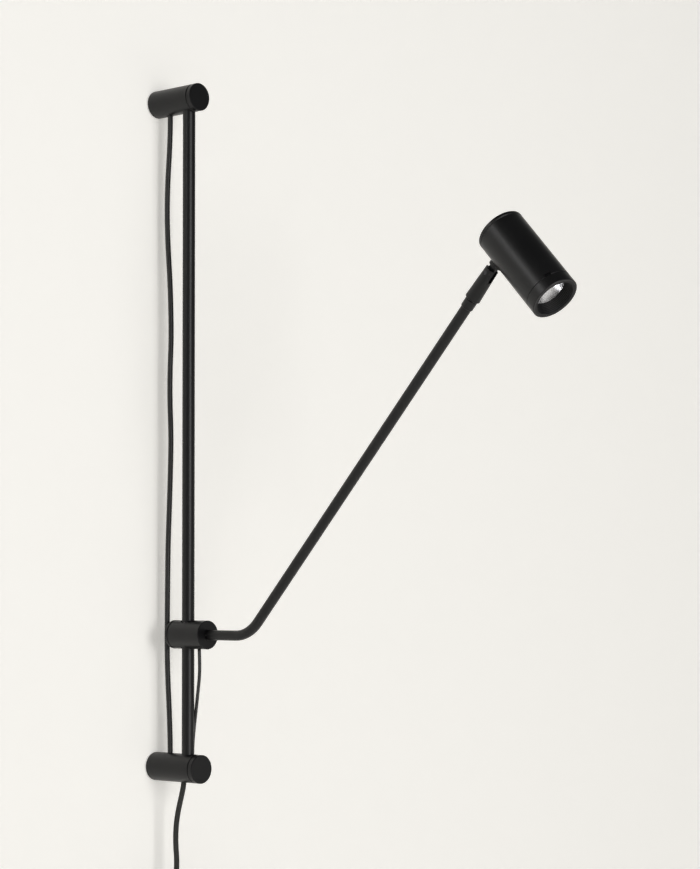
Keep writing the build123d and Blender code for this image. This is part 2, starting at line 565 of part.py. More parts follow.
LAMP_UPPER_ROUTE = [
    (0, -clamp_lead_out, CLAMP_Z - clamp_r - BODY_GAP), (0.2, -71.6, -256), (1.0, -70.6, -271),
    (3.5, -65.7, -287), (6.2, -60.9, -300.5)]
LAMP_LOWER_ROUTE = [
    (6.2, -60.9, -300.5), (8.9, -56.1, -314), (10.3, -52.4, -328), (10.7, -50.1, -343),
    (LAMP_LEAD_SIDE, -LAMP_LEAD_OUT, -358), (LAMP_LEAD_SIDE, -LAMP_LEAD_OUT, lamp_foot)]
for name, points in (("lamp_lead_upper", LAMP_UPPER_ROUTE), ("lamp_lead_lower", LAMP_LOWER_ROUTE)):
    lamp_path, lamp_radii = route(points)
    parts[name] = tube_along(lamp_path, LAMP_LEAD_D / 2)
    report_cord(name, lamp_path, lamp_radii, parts[name], LAMP_LEAD_D / 2)

# ---------------------------------------------------------------- hank of spare mains cord
half_turns = 2 * HANK_LOOPS
hank_open = tan(radians(HANK_FLARE))


def waist_half(turn):
    """Half width at the waist of one half turn, which narrows to the middle half turn and widens again."""
    return HANK_WAIST_HALF_W - HANK_PITCH / 2 * min(turn, half_turns - turn)


def fold_reach(turn):
    """How far the fold between a half turn and the next lies above or below the straight runs."""
    return (waist_half(turn) + waist_half(turn + 1)) / 2 + hank_open * (HANK_RUN - HANK_WAIST_L) / 2


hank_middle = HANK_TOP - HANK_RUN / 2 - fold_reach(half_turns - 1)


def hank_points():
    """The hank's route: sides drawn in at the waist, spiralling in over one layer and out over the next."""
    points = []
    for turn in range(half_turns + 1):
        side = -1 if turn % 2 == 0 else 1
        out_in = HANK_OUT if turn <= HANK_LOOPS else HANK_OUT + HANK_PITCH
        out_leaving = HANK_OUT if turn < HANK_LOOPS else HANK_OUT + HANK_PITCH
        waist_x = HANK_X + side * waist_half(turn)
        if turn > 0:
            rise = HANK_RUN / 2 + fold_reach(turn - 1)
            flare = side * hank_open * (rise - HANK_WAIST_L / 2)
            points.append((waist_x + flare, -out_in, hank_middle - side * rise))
        else:
            flare = side * hank_open * HANK_LEAD_IN
            points.append((waist_x + flare, -out_in, hank_middle - side * (HANK_WAIST_L / 2 + HANK_LEAD_IN)))
        points.append((waist_x, -out_in, hank_middle - side * HANK_WAIST_L / 2))
        points.append((waist_x, -out_leaving, hank_middle + side * HANK_WAIST_L / 2))
        if turn < half_turns:
            rise = HANK_RUN / 2 + fold_reach(turn)
            flare = side * hank_open * (rise - HANK_WAIST_L / 2)
            points.append((waist_x + flare, -out_leaving, hank_middle + side * rise))
    return points


def least_gap(path, diameter, step=4.0):
    """The least clear distance of a cord to itself, from points taken along its path."""
    count = int(path.length / step)
    samples = [path @ (i / count) for i in range(count + 1)]
    apart = int(4 * diameter / step)
    least = min((a - b).length for i, a in enumerate(samples) for b in samples[i + apart:])
    return least - diameter


hank_route = hank_points()
hank_start = Vector(*hank_route[0])
HANK_TAIL = [(-17.4, -52.2, -623), (-23.6, -54.6, -636), (-30.6, -56.9, -647.5), (-34.0, -57.6, -658)]
hank_path, hank_radii = route(hank_route + HANK_TAIL + [tuple(PLUG_PLACE)], HANK_SHARE)
parts["cord_hank"] = tube_along(hank_path, MAINS_D / 2)
report_cord("cord_hank", hank_path, hank_radii, parts["cord_hank"], MAINS_D / 2)
print(f"cord_hank: least gap to itself {least_gap(hank_path, MAINS_D):.2f}")

hank_approach = hank_start + (hank_start - Vector(*hank_route[1])).normalized() * HANK_APPROACH
MAINS_ROUTE = [
    (0, -MAINS_OUT, gland_top), (0, -MAINS_OUT, -397.5), (0, -41.6, -413.5), (0, -37.6, -429),
    (0, -35.0, -446), (0, -34.7, -464), (-0.3, -35.8, -480), (-2.4, -37.0, -494), (-7.6, -37.8, -506),
    (-13.6, -38.4, -516), (-18.0, -39.6, -526), (-19.2, -42.2, -536.5), tuple(hank_approach),
    tuple(hank_start)]
mains_path, mains_radii = route(MAINS_ROUTE)
parts["mains_cord"] = tube_along(mains_path, MAINS_D / 2)
report_cord("mains_cord", mains_path, mains_radii, parts["mains_cord"], MAINS_D / 2)
print(f"mains cord in all: {mains_path.length + hank_path.length:.0f}")

tie_left = HANK_X - HANK_WAIST_HALF_W - MAINS_D / 2 - TIE_CLEARANCE
tie_right = HANK_X + waist_half(1) + MAINS_D / 2 + TIE_CLEARANCE
tie_back = -HANK_OUT + MAINS_D / 2 + TIE_CLEARANCE
tie_front = -HANK_OUT - HANK_PITCH - MAINS_D / 2 - TIE_CLEARANCE
tie_w = tie_right - tie_left
tie_h = tie_back - tie_front
tie = extrude(RectangleRounded(tie_w + 2 * TIE_T, tie_h + 2 * TIE_T, MAINS_D / 2 + TIE_T)
              - RectangleRounded(tie_w, tie_h, MAINS_D / 2), TIE_W)
parts["hank_tie"] = Pos((tie_left + tie_right) / 2, (tie_back + tie_front) / 2, hank_middle - TIE_W / 2) * tie

plug_plane = Plane(origin=PLUG_PLACE, x_dir=RIGHT, z_dir=(0, 0, -1))
plug_face = plug_plane * Pos(0, 0, PLUG_TAPER_L) * RectangleRounded(PLUG_W, PLUG_T, PLUG_CORNER_R)
plug = loft([plug_plane * Circle(PLUG_NECK_D / 2), plug_face])
parts["plug_body"] = plug + extrude(plug_face, PLUG_L - PLUG_TAPER_L)
pin = soften(rod(PIN_D / 2, PLUG_L, PLUG_L + PIN_L), PIN_D / 2, PIN_EDGE)
parts["plug_pins"] = Compound([plug_plane * Pos(side * PIN_SPACING / 2, 0, 0) * pin for side in (-1, 1)])

os.makedirs("parts", exist_ok=True)
for name, solid in parts.items():
    export_step(solid, f"parts/{name}.step")
print(len(parts), "nodes")
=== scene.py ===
"""Looks of the pivoting spotlight wall light: its finishes, leads, plug and studio, in metres.

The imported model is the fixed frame. The classes below dress its nodes and add the pieces that are
modelled here: the free leads, the hank of spare cord, the tie, the plug, the grub screws and the
faceted reflector.
"""

import json
import logging
from dataclasses import dataclass
from enum import Enum
from math import cos, pi, radians, sin, sqrt, tan, tau

import bmesh
import bpy
from mathutils import Matrix, Vector


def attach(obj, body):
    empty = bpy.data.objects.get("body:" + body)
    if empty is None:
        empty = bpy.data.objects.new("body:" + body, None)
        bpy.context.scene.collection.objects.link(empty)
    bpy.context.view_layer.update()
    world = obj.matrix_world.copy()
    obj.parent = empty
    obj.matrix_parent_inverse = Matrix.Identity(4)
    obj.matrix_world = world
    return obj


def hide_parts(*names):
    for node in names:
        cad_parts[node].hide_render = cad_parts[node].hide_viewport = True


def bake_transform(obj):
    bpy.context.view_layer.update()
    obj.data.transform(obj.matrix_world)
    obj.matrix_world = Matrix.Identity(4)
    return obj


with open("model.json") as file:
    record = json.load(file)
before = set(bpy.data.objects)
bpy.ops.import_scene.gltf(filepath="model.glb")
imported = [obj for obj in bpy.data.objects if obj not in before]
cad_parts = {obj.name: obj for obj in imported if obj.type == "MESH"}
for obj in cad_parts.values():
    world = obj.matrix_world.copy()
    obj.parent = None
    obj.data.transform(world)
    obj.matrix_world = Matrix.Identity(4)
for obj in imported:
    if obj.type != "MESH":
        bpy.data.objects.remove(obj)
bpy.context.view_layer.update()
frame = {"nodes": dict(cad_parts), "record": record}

MM = 0.001
ALONG = "along_lead"  # UV map of a lead: u once round it, v along it in metres
log = logging.getLogger("wall_light")

Point = tuple[float, float, float]
Sockets = tuple[bpy.types.NodeSocket, bpy.types.NodeSocket]


class Slot(Enum):
    """The record's material slots."""

    POWDER_COAT = "black_powder_coat"
    CASTING = "cast_aluminium"
    STEEL = "screw_steel"
    RUBBER = "black_rubber"
    SHEATH = "black_cable_sheath"
    BRAID = "black_textile_braid"
    TAPE = "tie_tape"
    MOULDING = "black_moulding"
    NICKEL = "plug_brass"
    NYLON = "terminal_nylon"
    ACETAL = "bearing_acetal"
    SILVER = "silvered_reflector"
    PHOSPHOR = "led_phosphor"


# ---------------------------------------------------------------- helpers
def srgb(code: str) -> tuple[float, float, float, float]:
    """Turn an sRGB hex colour into a linear one.

    Args:
        code: Six hex digits after a #.

    Returns:
        Linear red, green, blue and an alpha of 1.
    """
    parts = [int(code[i:i + 2], 16) / 255 for i in (1, 3, 5)]
    linear = [c / 12.92 if c <= 0.04045 else ((c + 0.055) / 1.055) ** 2.4 for c in parts]
    return (*linear, 1.0)


def add_node(tree: bpy.types.NodeTree, kind: str, settings: dict | None = None,
             links: dict | None = None) -> bpy.types.Node:
    """Add a node with its settings and links.

    Args:
        tree: The tree that gets the node.
        kind: The node's type.
        settings: Values by property name, or by an input's name or index.
        links: Output sockets by the name or index of the input that they feed.

    Returns:
        The new node.
    """
    node = tree.nodes.new(kind)
    for key, value in (settings or {}).items():
        if isinstance(key, str) and key.islower() and hasattr(node, key):
            setattr(node, key, value)
        else:
            node.inputs[key].default_value = value
    for key, socket in (links or {}).items():
        tree.links.new(socket, node.inputs[key])
    return node


def maths(tree: bpy.types.NodeTree, operation: str,
          *values: float | bpy.types.NodeSocket) -> bpy.types.NodeSocket:
    """Work out one sum in a tree.

    Args:
        tree: The tree that gets the node.
        operation: The sum's name.
        values: Numbers or sockets, in the order of the node's inputs.

    Returns:
        The result's socket.
    """
    settings = {i: v for i, v in enumerate(values) if isinstance(v, (int, float))}
    links = {i: v for i, v in enumerate(values) if not isinstance(v, (int, float))}
    return add_node(tree, "ShaderNodeMath", {"operation": operation, **settings}, links).outputs[0]


def new_object(name: str, mesh: bpy.types.Mesh, material: bpy.types.Material) -> bpy.types.Object:
    """Link a mesh into the scene as a piece with one material."""
    mesh.materials.clear()
    mesh.materials.append(material)
    piece = bpy.data.objects.new(name, mesh)
    bpy.context.scene.collection.objects.link(piece)
    return piece


def frame_along(origin: Vector, direction: Vector) -> Matrix:
    """The place of a local frame whose Z axis runs along a direction and whose X axis lies level."""
    axis = direction.normalized()
    side = Vector((1.0, 0.0, 0.0))
    side = (side - axis * side.dot(axis)).normalized()
    turn = Matrix((side, axis.cross(side), axis)).transposed().to_4x4()
    return Matrix.Translation(origin) @ turn


def lathe(name: str, profile: list[tuple[float, float]], sides: int) -> bpy.types.Mesh:
    """Turn a closed shape about the local Z axis.

    Args:
        name: The mesh's name.
        profile: Points (radius, height), whose first and last radii may be 0.
        sides: Faces round the axis.

    Returns:
        A smooth mesh with its normals outwards.
    """
    shape = bmesh.new()
    rings = []
    for radius, height in profile:
        count = 1 if radius == 0 else sides
        turns = [tau * i / sides for i in range(count)]
        rings.append([shape.verts.new((radius * cos(turn), radius * sin(turn), height)) for turn in turns])
    for below, above in zip(rings, rings[1:]):
        for i in range(sides):
            corners = [below[i % len(below)], below[(i + 1) % len(below)],
                       above[(i + 1) % len(above)], above[i % len(above)]]
            shape.faces.new(list(dict.fromkeys(corners)))
    bmesh.ops.recalc_face_normals(shape, faces=shape.faces)
    mesh = bpy.data.meshes.new(name)
    shape.to_mesh(mesh)
    shape.free()
    mesh.shade_smooth()
    return mesh


# ---------------------------------------------------------------- finishes
@dataclass(frozen=True)
class Finish:
    """A surface: what it is made of and what its making leaves on it.

    Lengths are in metres. Tone runs from the base colour to the light one, and relief is the depth of
    the grain.
    """

    slot: Slot
    name: str
    colour: str
    light: str
    roughness: tuple[float, float]
    grain: float
    relief: float
    patch: float = 0.02
    metallic: float = 0.0
    ior: float = 1.5

    def noise(self, tree: bpy.types.NodeTree, width: float, detail: float = 3.0) -> bpy.types.NodeSocket:
        """Noise whose features are as wide as given, in metres, on Object coordinates."""
        place = add_node(tree, "ShaderNodeTexCoord").outputs["Object"]
        return add_node(tree, "ShaderNodeTexNoise", {"Scale": 1 / width, "Detail": detail},
                        {"Vector": place}).outputs[0]

    def pattern(self, tree: bpy.types.NodeTree) -> Sockets:
        """The surface's tone and height, each from 0 to 1: here patches, and a fine even grain."""
        return self.noise(tree, self.patch), self.noise(tree, self.grain, 1.0)

    def build(self) -> bpy.types.Material:
        """Make the material.

        Returns:
            The material, named for what the surface is.
        """
        material = bpy.data.materials.new(self.name)
        material.use_nodes = True
        tree = material.node_tree
        tree.nodes.clear()
        shader = add_node(tree, "ShaderNodeBsdfPrincipled", {"Metallic": self.metallic})
        if not self.metallic:
            shader.inputs["IOR"].default_value = self.ior
        tone, height = self.pattern(tree)
        colour = add_node(tree, "ShaderNodeMix",
                          {"data_type": "RGBA", 6: srgb(self.colour), 7: srgb(self.light)}, {0: tone})
        low, high = self.roughness
        rough = add_node(tree, "ShaderNodeMapRange", {"To Min": low, "To Max": high}, {"Value": tone})
        bump = add_node(tree, "ShaderNodeBump", {"Distance": self.relief}, {"Height": height})
        tree.links.new(colour.outputs[2], shader.inputs["Base Color"])
        tree.links.new(rough.outputs[0], shader.inputs["Roughness"])
        tree.links.new(bump.outputs[0], shader.inputs["Normal"])
        add_node(tree, "ShaderNodeOutputMaterial", links={"Surface": shader.outputs[0]})
        return material


@dataclass(frozen=True)
class Extruded(Finish):
    """A sheath drawn through a die, which leaves faint lines along the lead."""

    lines_round: float = 40.0
    line_length: float = 0.05

    def pattern(self, tree: bpy.types.NodeTree) -> Sockets:
        """Patches of tone, and noise drawn out along the lead."""
        uv = add_node(tree, "ShaderNodeUVMap", {"uv_map": ALONG})
        scale = (self.lines_round, 1 / self.line_length, 1.0)
        stretch = add_node(tree, "ShaderNodeMapping", {"Scale": scale}, {"Vector": uv.outputs[0]})
        lines = add_node(tree, "ShaderNodeTexNoise", {"Scale": 1.0, "Detail": 1.0},
                         {"Vector": stretch.outputs[0]})
        return self.noise(tree, self.patch), lines.outputs[0]


@dataclass(frozen=True)
class Braided(Finish):
    """Yarn plaited over the lead: strands wind both ways round and pass over and under each other."""

    strands: int = 8  # each way round
    step: float = 0.0024  # along the lead, from one strand to the next
    hairs: float = 0.5  # how far loose fibres roughen a strand, where 1 is its height
    painted_shade_power: float = 1.6  # power by which the painted shade deepens from a strand's crown, painted light as a highlight, to its edges

    def pattern(self, tree: bpy.types.NodeTree) -> Sockets:
        """Height of the strand that lies on top at each crossing, and a tone from it that paints its crown
        light as a highlight and its edges dark as shade.
        """
        uv = add_node(tree, "ShaderNodeUVMap", {"uv_map": ALONG}).outputs[0]
        ways = [add_node(tree, "ShaderNodeVectorMath",
                         {"operation": "DOT_PRODUCT", 1: (float(self.strands), way / self.step, 0.0)},
                         {0: uv}).outputs["Value"] for way in (1.0, -1.0)]
        crossing = add_node(tree, "ShaderNodeCombineXYZ", links={0: ways[0], 1: ways[1]})
        over = add_node(tree, "ShaderNodeTexChecker", {"Scale": 1.0}, {"Vector": crossing.outputs[0]})
        crowns = [maths(tree, "ABSOLUTE", maths(tree, "SINE", maths(tree, "MULTIPLY", way, pi)))
                  for way in ways]
        top = add_node(tree, "ShaderNodeMix", links={0: over.outputs["Fac"], 2: crowns[0], 3: crowns[1]})
        yarn = self.noise(tree, self.grain, 2.0)
        height = maths(tree, "MULTIPLY_ADD", maths(tree, "SUBTRACT", yarn, 0.5), self.hairs, top.outputs[0])
        # The tone follows the strand's height: its crown is painted light as a highlight and its edges dark
        # as shade.
        return maths(tree, "POWER", maths(tree, "MAXIMUM", height, 0.0), self.painted_shade_power), height


@dataclass(frozen=True)
class Woven(Finish):
    """Narrow tape woven from filament, in a plain weave."""

    thread: float = 0.0006  # from one thread to the next
    hairs: float = 0.6  # how far loose fibres roughen the weave, where 1 is its height
    tone: float = 0.7  # share of the light colour painted on a thread's crown as a highlight, with painted shade in the hollows between threads

    def pattern(self, tree: bpy.types.NodeTree) -> Sockets:
        """Crossing threads by Object coordinates, with the tape's faces along X and Z or Y and Z, and a tone
        that paints each thread's crown light as a highlight and the hollows between threads dark as shade.
        """
        place = add_node(tree, "ShaderNodeTexCoord").outputs["Object"]
        split = add_node(tree, "ShaderNodeSeparateXYZ", links={0: place})
        round_band = maths(tree, "ADD", split.outputs[0], split.outputs[1])
        across = [maths(tree, "ABSOLUTE", maths(tree, "SINE", maths(tree, "MULTIPLY", way, pi / self.thread)))
                  for way in (round_band, split.outputs[2])]
        weave = maths(tree, "MULTIPLY", across[0], across[1])
        height = maths(tree, "MULTIPLY_ADD", self.noise(tree, self.grain), self.hairs, weave)
        # The tone follows the weave's height: thread crowns are painted light as a highlight and the hollows
        # between threads dark as shade.
        return maths(tree, "MINIMUM", maths(tree, "MULTIPLY", height, self.tone), 1.0), height


@dataclass(frozen=True)
class Turned(Finish):
    """Metal turned or drawn, whose tool marks run round the Z axis of the object."""

    mark: float = 0.0003

    def pattern(self, tree: bpy.types.NodeTree) -> Sockets:
        """Patches of tone, and marks drawn out level."""
        place = add_node(tree, "ShaderNodeTexCoord").outputs["Object"]
        stretch = add_node(tree, "ShaderNodeMapping", {"Scale": (1.0, 1.0, self.grain / self.mark)},
                           {"Vector": place})
        marks = add_node(tree, "ShaderNodeTexNoise", {"Scale": 1 / self.grain, "Detail": 2.0},
                         {"Vector": stretch.outputs[0]})
        return self.noise(tree, self.patch), marks.outputs[0]


FINISHES = (
    # Polyester powder coat, sprayed and baked: a fine even texture with a soft satin gloss. Its grain is
    # 0.2 mm on the real light and drawn coarser here, so that it shows.
    Finish(Slot.POWDER_COAT, "fine_matt_powder_coat", "#0e0e0f", "#151516", (0.34, 0.40), 0.9 * MM,
           0.010 * MM, 0.03, ior=1.37),
    # Die-cast aluminium with machined faces, bare: mid grey, with a soft sheen.
    Finish(Slot.CASTING, "machined_cast_aluminium", "#a3a5a8", "#b9bbbe", (0.35, 0.5), 0.6 * MM, 0.01 * MM,
           0.01, metallic=1.0),
    # Blackened machine steel: dark oxide with a dull metallic gloss.
    Turned(Slot.STEEL, "blackened_screw_steel", "#3a3a3c", "#4a4a4d", (0.32, 0.45), 1.0 * MM, 0.006 * MM,
           0.004, metallic=1.0),
    # Moulded nitrile rubber: dead black and dull.
    Finish(Slot.RUBBER, "moulded_nitrile_rubber", "#111111", "#191919", (0.55, 0.68), 0.4 * MM, 0.02 * MM,
           0.006, ior=1.52),
    # Extruded PVC sheath: smooth, a little glossy, with faint lines along the lead.
    Extruded(Slot.SHEATH, "extruded_pvc_sheath", "#101011", "#171718", (0.34, 0.44), 0.5 * MM, 0.02 * MM,
             0.02, ior=1.53),
    # Polyester yarn plaited over the cord: matt, with a painted highlight on each strand's crown and painted
    # shade at its edges, so that the strands seem to catch the light in turn.
    Braided(Slot.BRAID, "plaited_polyester_yarn", "#070707", "#464643", (0.6, 0.85), 0.25 * MM, 0.3 * MM,
            ior=1.46),
    # Hook-and-loop tape of woven nylon filament: black, with a fuzzy matt face, its thread crowns painted
    # lighter as a highlight and the hollows between them darker as shade.
    Woven(Slot.TAPE, "woven_nylon_tape", "#0d0d0e", "#2a2a2b", (0.7, 0.9), 0.3 * MM, 0.15 * MM, ior=1.53),
    # Moulded polycarbonate with a spark-eroded texture, which scatters its gloss: black and matt.
    Finish(Slot.MOULDING, "moulded_polycarbonate", "#08080a", "#0e0e0f", (0.50, 0.60), 0.35 * MM, 0.012 * MM,
           0.01, ior=1.36),
    # Brass plated with nickel and polished: a bright, faintly warm mirror.
    Turned(Slot.NICKEL, "nickel_plated_brass", "#c4c0b6", "#d8d5cd", (0.16, 0.26), 1.0 * MM, 0.004 * MM,
           0.003, metallic=1.0),
    # Natural nylon, moulded: cream and slightly waxy.
    Finish(Slot.NYLON, "moulded_natural_nylon", "#d2cdbf", "#dedacd", (0.35, 0.5), 0.5 * MM, 0.01 * MM,
           0.005, ior=1.53),
    # Natural acetal, machined: cool white and slippery.
    Finish(Slot.ACETAL, "machined_natural_acetal", "#cfcfcd", "#dcdcda", (0.3, 0.42), 0.5 * MM, 0.008 * MM,
           0.005, ior=1.48),
    # Aluminium evaporated onto a moulded bowl: a bright mirror, softened by each facet's slight crown.
    Finish(Slot.SILVER, "vacuum_silvered_bowl", "#e9e9eb", "#f6f6f7", (0.20, 0.28), 1.2 * MM, 0.01 * MM,
           0.004, metallic=1.0),
    # Silicone with yellow phosphor over the chip: smooth and translucent yellow.
    Finish(Slot.PHOSPHOR, "phosphor_silicone", "#d9b73a", "#e6cb5c", (0.25, 0.35), 0.4 * MM, 0.01 * MM,
           0.002, ior=1.41),
)


class Palette:
    """The materials by slot, and the CAD nodes dressed in them."""

    def __init__(self) -> None:
        """Build every finish."""
        self.materials = {finish.slot: finish.build() for finish in FINISHES}

    def __getitem__(self, slot: Slot) -> bpy.types.Material:
        """The material of a slot."""
        return self.materials[slot]

    def dress_nodes(self) -> None:
        """Give each CAD node the material of its slot in the record."""
        for part in frame["record"]["subparts"]:
            node = frame["nodes"][part["node"]]
            material = self[Slot(part["material_slot"])]
            for holder in node.material_slots:
                holder.material = material
            log.info("dressed %s as %s", node.name, material.name)


# ---------------------------------------------------------------- leads
@dataclass
class Lead:
    """A round flexible lead, as a mesh tube along a smooth spline through its route's control points."""

    name: str
    route: list[Point]  # millimetres
    diameter: float
    slot: Slot
    sides: int = 20
    steps: int = 10  # points on the spline for each control point
    merge: float = 0.01  # diameters within which a point repeats the one before

    def line(self) -> list[Vector]:
        """Read points along the route's spline.

        Returns:
            Points in metres, from the first end to the last.
        """
        curve = bpy.data.curves.new(self.name, "CURVE")
        curve.dimensions = "3D"
        spline = curve.splines.new("NURBS")
        spline.points.add(len(self.route) - 1)
        for control, place in zip(spline.points, self.route):
            control.co = (*(Vector(place) * MM), 1.0)
        spline.order_u = 3
        spline.use_endpoint_u = True
        curve.resolution_u = self.steps
        carrier = bpy.data.objects.new(self.name + "_line", curve)
        mesh = bpy.data.meshes.new_from_object(carrier)
        points = [vertex.co.copy() for vertex in mesh.vertices]
        bpy.data.objects.remove(carrier)
        bpy.data.meshes.remove(mesh)
        bpy.data.curves.remove(curve)
        least = self.diameter * self.merge
        return [p for i, p in enumerate(points) if i == 0 or (p - points[i - 1]).length > least]

    def tube(self, line: list[Vector]) -> bpy.types.Mesh:
        """Wrap a closed tube round a line, with the lead's UV map.

        Args:
            line: The centreline.

        Returns:
            The tube's mesh.
        """
        shape = bmesh.new()
        uv = shape.loops.layers.uv.new(ALONG)
        radius = self.diameter / 2
        heading = (line[1] - line[0]).normalized()
        side = heading.orthogonal().normalized()
        rings, reach = [], [0.0]
        for i, centre in enumerate(line):
            ahead = line[min(i + 1, len(line) - 1)] - line[max(i - 1, 0)]
            side = heading.rotation_difference(ahead) @ side
            heading = ahead.normalized()
            side = (side - heading * side.dot(heading)).normalized()
            up = heading.cross(side)
            rings.append([shape.verts.new(centre + radius * (side * cos(a) + up * sin(a)))
                          for a in (tau * n / self.sides for n in range(self.sides))])
            if i:
                reach.append(reach[-1] + (centre - line[i - 1]).length)
        for i, (below, above) in enumerate(zip(rings, rings[1:])):
            for n in range(self.sides):
                after = (n + 1) % self.sides
                face = shape.faces.new((below[n], below[after], above[after], above[n]))
                face.smooth = True
                corners = ((n, i), (n + 1, i), (n + 1, i + 1), (n, i + 1))
                for loop, (u, v) in zip(face.loops, corners):
                    loop[uv].uv = (u / self.sides, reach[v])
        for ring in (rings[0][::-1], rings[-1]):
            shape.faces.new(ring)
        mesh = bpy.data.meshes.new(self.name)
        shape.to_mesh(mesh)
        shape.free()
        return mesh

    def build(self, palette: Palette) -> tuple[bpy.types.Object, list[Vector]]:
        """Make the lead.

        Args:
            palette: The materials.

        Returns:
            The piece and its centreline.
        """
        line = self.line()
        piece = new_object(self.name, self.tube(line), palette[self.slot])
        length = sum((b - a).length for a, b in zip(line, line[1:]))
        log.info("%s is %.0f mm long", self.name, length / MM)
        return piece, line


@dataclass
class FixedLeads:
    """The riser beside the pole, and the lamp's thin lead in its two stretches."""

    riser_d: float = 6.0 * MM
    lamp_d: float = 3.8 * MM
    lamp_sides: int = 16
    riser_length: float = 0.729
    lamp_lower_length: float = 0.071
    lamp_upper_length: float = 0.060
    meeting: Point = (6.2, -60.9, -300.5)  # where the two stretches of the lamp's lead meet
    lamp_foot_z: float = -366.5  # where the lower stretch leaves its bush
    lamp_head_z: float = -241.6  # where the upper stretch enters the clamp

    def riser(self, palette: Palette) -> None:
        """The lead from the lower bracket to the upper one, a little wavy beside the pole."""
        route = [(0, -24, -363.73), (0, -24, -355), (0, -23.6, -339), (0, -22.4, -314), (0, -20.0, -280),
                 (0, -18.4, -243), (0, -18.7, -203), (0, -19.2, -160), (0, -19.8, -122), (0, -21.9, -80),
                 (0, -23.4, -42), (0, -24.4, -4), (0, -22.3, 34), (0, -22.2, 68), (0, -24.3, 106),
                 (0, -23.4, 146), (0, -21.6, 178), (0, -18.2, 216), (0, -16.8, 254), (0, -18.2, 289),
                 (0, -20.6, 317), (0, -21.8, 340), (0, -22, 355), (0, -22, 364.25)]
        piece, line = Lead("riser_lead_tube", route, self.riser_d, Slot.SHEATH).build(palette)
        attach(piece, "root")
        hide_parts("riser_lead")

    def lamp(self, palette: Palette) -> None:
        """The thin lead from the lower bracket up to the clamp, in two stretches fixed where they are made.
        """
        lower_route = [(10.4, -49.5, -370.46), (10.4, -49.5, -358), (10.7, -50.1, -343), (10.3, -52.4, -328),
                       (8.9, -56.1, -314), self.meeting]
        upper_route = [self.meeting, (3.5, -65.7, -287), (1.0, -70.6, -271), (0.2, -71.6, -256),
                       (0, -71, -241.6)]
        lower, lower_line = Lead("lamp_lead_lower_tube", lower_route, self.lamp_d, Slot.SHEATH,
                                 sides=self.lamp_sides).build(palette)
        upper, upper_line = Lead("lamp_lead_upper_tube", upper_route, self.lamp_d, Slot.SHEATH,
                                 sides=self.lamp_sides).build(palette)
        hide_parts("lamp_lead_lower")
        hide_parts("lamp_lead_upper")
        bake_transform(lower)
        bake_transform(upper)

    def build(self, palette: Palette) -> None:
        """Make the three stretches."""
        self.riser(palette)
        self.lamp(palette)


@dataclass
class Hank:
    """The spare mains cord: loops drawn in at the tie, spiralling in over one layer and out over the next.

    Lengths are in millimetres, as the route's are.
    """

    loops: int = 5
    pitch: float = 6.7
    run: float = 92.0
    waist_half_w: float = 32.6
    waist_l: float = 24.0
    flare: float = 5.5  # degrees
    lead_in: float = 20.0
    approach: float = 11.0
    x: float = 18.0
    out: float = 44.4
    top: float = -510.0
    fold_points: int = 5

    def waist(self, turn: int) -> float:
        """Half width at the waist of one half turn."""
        return self.waist_half_w - self.pitch / 2 * min(turn, 2 * self.loops - turn)

    def reach(self, turn: int) -> float:
        """Radius of the fold between a half turn and the next."""
        opening = tan(radians(self.flare)) * (self.run - self.waist_l) / 2
        return (self.waist(turn) + self.waist(turn + 1)) / 2 + opening

    @property
    def middle(self) -> float:
        """Height of the waist's middle."""
        return self.top - self.run / 2 - self.reach(2 * self.loops - 1)

    def side_point(self, turn: int, layer: float, rise: float) -> Point:
        """A point on a half turn's side, at a height above the waist's middle."""
        side = -1 if turn % 2 == 0 else 1
        spread = tan(radians(self.flare)) * max(abs(rise) - self.waist_l / 2, 0.0)
        return self.x + side * (self.waist(turn) + spread), -layer, self.middle + rise

    def fold(self, turn: int, layer: float) -> list[Point]:
        """Points round the fold between a half turn and the next, as control points outside its circle."""
        side = -1 if turn % 2 == 0 else 1
        step = pi / self.fold_points
        radius = self.reach(turn) / cos(step / 2)
        middle_x = self.x + side * (self.waist(turn) - self.waist(turn + 1)) / 2
        centre = self.middle + side * self.run / 2
        return [(middle_x + side * radius * cos(step * (n + 0.5)), -layer,
                 centre + side * radius * sin(step * (n + 0.5))) for n in range(self.fold_points)]

    def points(self) -> list[Point]:
        """The loops' control points.

        Returns:
            Points from the cord's first run down to the waist to its last.
        """
        route = []
        half_turns = 2 * self.loops
        for turn in range(half_turns + 1):
            side = -1 if turn % 2 == 0 else 1
            layer_in = self.out if turn <= self.loops else self.out + self.pitch
            layer_out = self.out if turn < self.loops else self.out + self.pitch
            first = self.waist_l / 2 + self.lead_in if turn == 0 else (self.run + self.waist_l) / 4
            route.append(self.side_point(turn, layer_in, -side * first))
            route.append(self.side_point(turn, layer_in, -side * self.waist_l / 2))
            route.append(self.side_point(turn, layer_out, side * self.waist_l / 2))
            if turn < half_turns:
                route.append(self.side_point(turn, layer_out, side * (self.run + self.waist_l) / 4))
                route.extend(self.fold(turn, layer_out))
        return route


